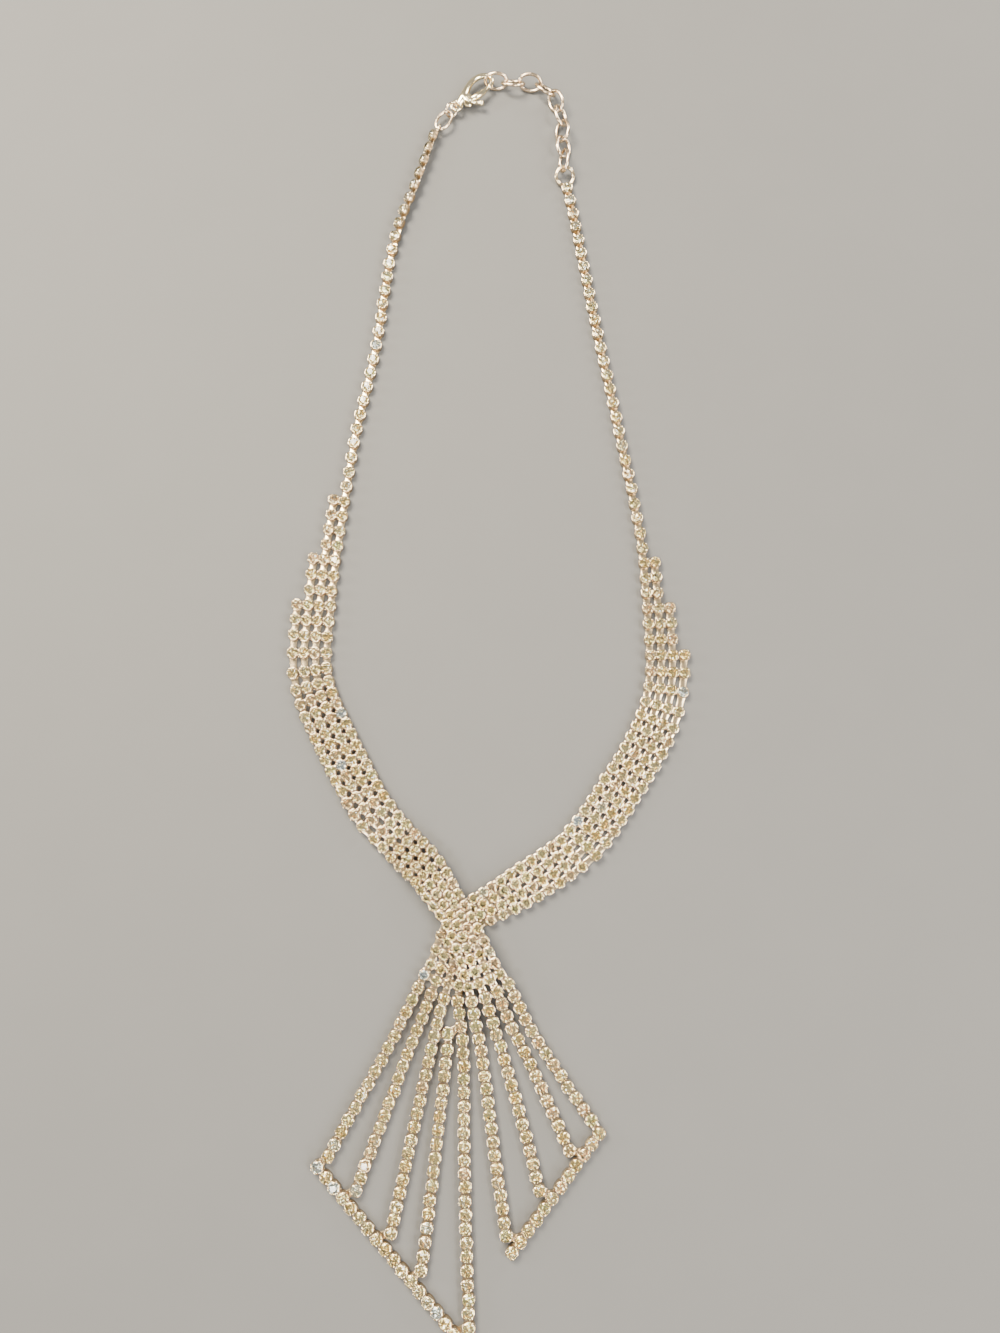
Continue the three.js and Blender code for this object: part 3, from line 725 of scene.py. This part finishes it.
def soldered_ring(work, place, ring, outward):
    """Ring of wire soldered to the outer end of a chain."""
    tilt = math.radians(ring["tilt"])
    back = outward * math.cos(tilt) + place.up * math.sin(tilt)
    side = place.up.cross(outward).normalized()
    start = place.foot + outward * (CUP["half"] - ring["wire"] / 4) + place.up * (ring["wire"] / 2)
    centre = start + back * ring["radius"]
    points, faces = wire_ring(ring["radius"], ring["radius"], ring["wire"], seam_at=0.5)
    basis = np.array([back, side, back.cross(side)])
    work.add(np.asarray(centre) + points @ basis, faces, 0, TARNISH_AND_SHADE_HEIGHT["wire"])
    solder, solder_faces = ball(ring["wire"] * WIRE["solder"], 16, 10)
    work.add(np.asarray(start) + solder, solder_faces, 0, TARNISH_AND_SHADE_HEIGHT["solder"])


def dress_stones(node, single, ring=None):
    """Cups, claws, strips and stones of one node, as two pieces."""
    places = PLACES[node]
    metal, stones = Metalwork(), Metalwork()
    # Height in the cup: low points get painted shade and tarnish.
    height = SETTING_POINTS[:, 2] / CUP_HEIGHT
    for place in places:
        scale = cup_scale(place, single)
        size = (scale, scale, 1.0)
        seated = nudge(place)
        rest_on_table(seated, size)
        metal.add(seated.moved(SETTING_POINTS, size), SETTING_FACES, 0, height)
        spin = Matrix.Rotation(chance.uniform(0, math.pi / 4), 3, "Z")
        spun = STONE_POINTS @ np.array(spin)
        stones.add(seated.moved(spun, size), STONE_FACES, STONE_SLOTS, 1.0, chance.uniform())
    for a, b in strips_between(places, single) + joints_of(node):
        points, faces = strip_shape(a, b)
        metal.add(points, faces, 0, TARNISH_AND_SHADE_HEIGHT["strip"])
    if ring:
        top = max(places, key=lambda place: place.foot.y)
        second = nearest(top, places)
        outward = top.along if top.along.dot(top.foot - second.foot) > 0 else -top.along
        soldered_ring(metal, top, ring, outward)
    cups = metal.piece(f"{node}_cups", [SETTING_SILVER])
    gems = stones.piece(f"{node}_stones", [GLASS, FOIL], sharp=1.0)
    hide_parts(node)
    for piece in (cups, gems):
        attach(piece, "necklace")


def dress_link(node, seam_at):
    """Smooth wire link where the model has its faceted one."""
    points = np.array([v.co for v in frame["nodes"][node].data.vertices]) / MM
    points = np.unique(points.round(5), axis=0)
    centre = points.mean(axis=0)
    _, _, axes = np.linalg.svd(points - centre)
    reach = [np.ptp((points - centre) @ axis) for axis in axes]
    wire = reach[2] / math.sin(2 * math.pi / MODEL_WIRE_SIDES)
    ring, faces = wire_ring((reach[0] - wire) / 2, (reach[1] - wire) / 2, wire, seam_at)
    axes[2] = np.cross(axes[0], axes[1])
    work = Metalwork()
    work.add(centre + ring @ axes, faces, 0, TARNISH_AND_SHADE_HEIGHT["wire"])
    link = work.piece(f"{node}_wire", [CHAIN_SILVER])
    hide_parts(node)
    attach(link, "necklace")


def cast(name, parts, hollow):
    """Cast metal: the parts flow together, the hollow is taken out and the surface is smoothed."""
    work = Metalwork()
    for points, faces in parts:
        work.add(points / MM, faces)
    rough = work.piece(f"{name}_rough", [CLASP_SILVER])
    melt = rough.modifiers.new("melt", "REMESH")
    melt.mode = "VOXEL"
    melt.voxel_size = CLASP["voxel"]
    tool = Metalwork()
    tool.add(hollow[0] / MM, hollow[1])
    cutter = tool.piece(f"{name}_cutter", [CLASP_SILVER])
    cut = rough.modifiers.new("cut", "BOOLEAN")
    cut.operation = "DIFFERENCE"
    cut.object = cutter
    finish = rough.modifiers.new("finish", "SMOOTH")
    finish.factor, finish.iterations = CLASP["smoothing"]
    solid = bpy.data.meshes.new_from_object(rough.evaluated_get(bpy.context.evaluated_depsgraph_get()))
    for obj in (rough, cutter):
        bpy.data.objects.remove(obj)
    solid.transform(Matrix.Scale(MM, 4))
    solid.name = name
    layer = solid.attributes.get("cup_height") or solid.attributes.new("cup_height", "FLOAT", "POINT")
    layer.data.foreach_set("value", np.ones(len(solid.vertices), np.float32))
    solid.polygons.foreach_set("use_smooth", [True] * len(solid.polygons))
    obj = bpy.data.objects.new(name, solid)
    bpy.context.scene.collection.objects.link(obj)
    return obj


def shifted(shape, x, y):
    points, faces = shape
    return points + np.array([x, y, 0]), faces


def dress_clasp():
    """The cast body with its pin, and the lever that turns on it."""
    joint = next(j for j in frame["joints"] if j["name"] == "clasp_lever_hinge")
    pin = Vector(joint["pos_m"])
    heading = Matrix.Rotation(math.radians(CLASP["heading"]), 4, "Z")
    eye = pin - heading.to_3x3() @ Vector((*CLASP["pivot"], 0)) * MM
    px, py = CLASP["pivot"]
    cheeks = lathe(rounded_disc(CLASP["cheek_radius"], CLASP["cheek_height"], CLASP["cheek_edge"]))
    rivet_height = CLASP["cheek_height"] + 2 * CLASP["rivet_head"]
    rivet = lathe(rounded_disc(CLASP["rivet"], rivet_height, CLASP["rivet_edge"]), 24)
    slot = lathe([(CLASP["slot_radius"], z * CLASP["slot"] / 2) for z in (-1, 1)])
    eye_ring = wire_ring(CLASP["eye_radius"], CLASP["eye_radius"], CLASP["eye_wire"])
    hook = bar(HOOK, 90, 24)
    body_parts = [eye_ring, hook, shifted(cheeks, px, py)]
    body = cast("clasp_body_cast", body_parts, shifted(slot, px, py))
    body.data.transform(Matrix.Translation(eye) @ heading)
    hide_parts("clasp_body")
    pin_work = Metalwork()
    pin_work.add(*shifted(rivet, px, py))
    pin_piece = pin_work.piece("clasp_pin", [CLASP_SILVER])
    pin_piece.data.transform(Matrix.Translation(eye) @ heading)
    for piece in (body, pin_piece):
        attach(piece, "necklace")
    disc = lathe(rounded_disc(CLASP["lever_disc"], CLASP["lever_thickness"], CLASP["lever_edge"]))
    knob = shifted(ball(CLASP["tab_ball"]), *LEVER_TAB[-1][:2])
    hole = lathe([(CLASP["rivet"] + CLASP["rivet_gap"], z) for z in (-1.0, 1.0)], 24)
    lever_parts = [disc, bar(LEVER_ARM, 40), bar(LEVER_TAB, 30), knob]
    lever = cast("clasp_lever_cast", lever_parts, hole)
    lever.data.transform(Matrix.Translation(pin) @ heading)
    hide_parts("clasp_lever")
    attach(lever, "lever")


NECK_CHAINS = {"neck_chain_left": CHAIN_LOOP, "neck_chain_right": END_RING}
BANDS = ["shoulder_band_left", "shoulder_band_right", "lower_band_left", "lower_band_right"]
SINGLE_STRANDS = [n for n in frame["nodes"] if n.startswith("fan_")]
LINKS = [n for n in frame["nodes"] if n.startswith("extender_link_") or n.endswith("_ring")]
HANGS_FROM = {
    "shoulder_band_left": ["neck_chain_left"],
    "shoulder_band_right": ["neck_chain_right"],
    "lower_band_left": ["shoulder_band_left"],
    "lower_band_right": ["shoulder_band_right"],
    "fan_bar": ["fan_strand_3", "fan_strand_5"],
    "fan_strand_4": ["fan_bar"],
    **{f"fan_strand_{i}": ["lower_band_right"] for i in (1, 2, 3, 5)},
    **{f"fan_strand_{i}": ["lower_band_left"] for i in (6, 7, 8, 9)},
    "fan_edge_left": [f"fan_strand_{i}" for i in range(1, 6)],
    "fan_edge_right": [f"fan_strand_{i}" for i in range(6, 10)],
}

PLACES = {node: turn_along(stone_places(node, True)) for node in [*NECK_CHAINS, *SINGLE_STRANDS]}
PLACES.update({node: settle(stone_places(node, False)) for node in BANDS})


def joints_of(node):
    """Strips to the pieces that a node hangs from, in the order of the necklace from the clasp down."""
    uppers = HANGS_FROM.get(node, [])
    return [pair for upper in uppers for pair in joining_pairs(PLACES[node], PLACES[upper])]


for chain_node, chain_ring in NECK_CHAINS.items():
    dress_stones(chain_node, True, chain_ring)
for band_node in BANDS:
    dress_stones(band_node, False)
for strand_node in SINGLE_STRANDS:
    dress_stones(strand_node, True)
for number, link_node in enumerate(LINKS):
    dress_link(link_node, 0.25 if number % 2 else 0.75)  # where in the ring the seam is
dress_clasp()


# Stage, light and camera


def pale_floor():
    material, shader, wires = new_material("pale_floor")
    grain = wires.noise(60.0, 6.0)
    shade = wires.mix(grain, (0.064, 0.064, 0.064, 1), (0.07, 0.07, 0.07, 1))
    wires.links.new(shade, shader.inputs["Base Color"])
    shader.inputs["Roughness"].default_value = 0.75
    corners = [(FLOOR_REACH * x, FLOOR_REACH * y, 0) for x, y in ((-1, -1), (1, -1), (1, 1), (-1, 1))]
    mesh = bpy.data.meshes.new("floor")
    mesh.from_pydata(corners, [], [[0, 1, 2, 3]])
    mesh.materials.append(material)
    floor = bpy.data.objects.new("floor", mesh)
    floor.location.z = -FLOOR_GAP
    bpy.context.scene.collection.objects.link(floor)


def soft_light(name, place, size, power, color):
    data = bpy.data.lights.new(name, "AREA")
    data.shape = "DISK"
    data.size = size
    data.energy = power
    data.color = color
    lamp = bpy.data.objects.new(name, data)
    lamp.location = place
    lamp.rotation_euler = (-Vector(place)).to_track_quat("-Z", "Y").to_euler()
    bpy.context.scene.collection.objects.link(lamp)


def add_lights():
    """Broad soft boxes round the table, so that the facets catch bright and dark by turns."""
    cream, white = (1.0, 0.88, 0.67), (1.0, 0.95, 0.86)
    soft_light("key", (-0.35, 0.4, 0.6), 0.38, 30.0, cream)
    soft_light("fill", (0.55, -0.25, 0.5), 0.4, 8.5, white)
    for i in range(6):
        angle = math.radians(50 + 60 * i)
        reach, height = (0.4, 0.55) if i % 2 else (0.62, 0.25)
        place = (reach * math.cos(angle), reach * math.sin(angle), height)
        soft_light(f"box_{i + 1}", place, 0.18, 4.4, white)
    world = bpy.data.worlds.new("studio")
    world.use_nodes = True
    background = world.node_tree.nodes["Background"]
    background.inputs["Color"].default_value = (0.94, 0.91, 0.86, 1)
    background.inputs["Strength"].default_value = 0.5
    bpy.context.scene.world = world


def add_camera():
    tilt = math.radians(CAMERA["tilt"])
    target = Vector((*CAMERA["target"], 0)) * MM
    back = Vector((0, -math.sin(tilt), math.cos(tilt)))
    data = bpy.data.cameras.new("camera")
    data.sensor_width = SENSOR
    data.lens = CAMERA["focal_px"] / IMAGE_HEIGHT * SENSOR
    data.clip_start, data.clip_end = 0.01, 10.0
    camera = bpy.data.objects.new("camera", data)
    turn = Matrix.Rotation(math.radians(CAMERA["roll"]), 4, back) @ Matrix.Rotation(tilt, 4, "X")
    camera.matrix_world = Matrix.Translation(target + back * CAMERA["distance"] * MM) @ turn
    bpy.context.scene.collection.objects.link(camera)
    bpy.context.scene.camera = camera


pale_floor()
add_lights()
add_camera()
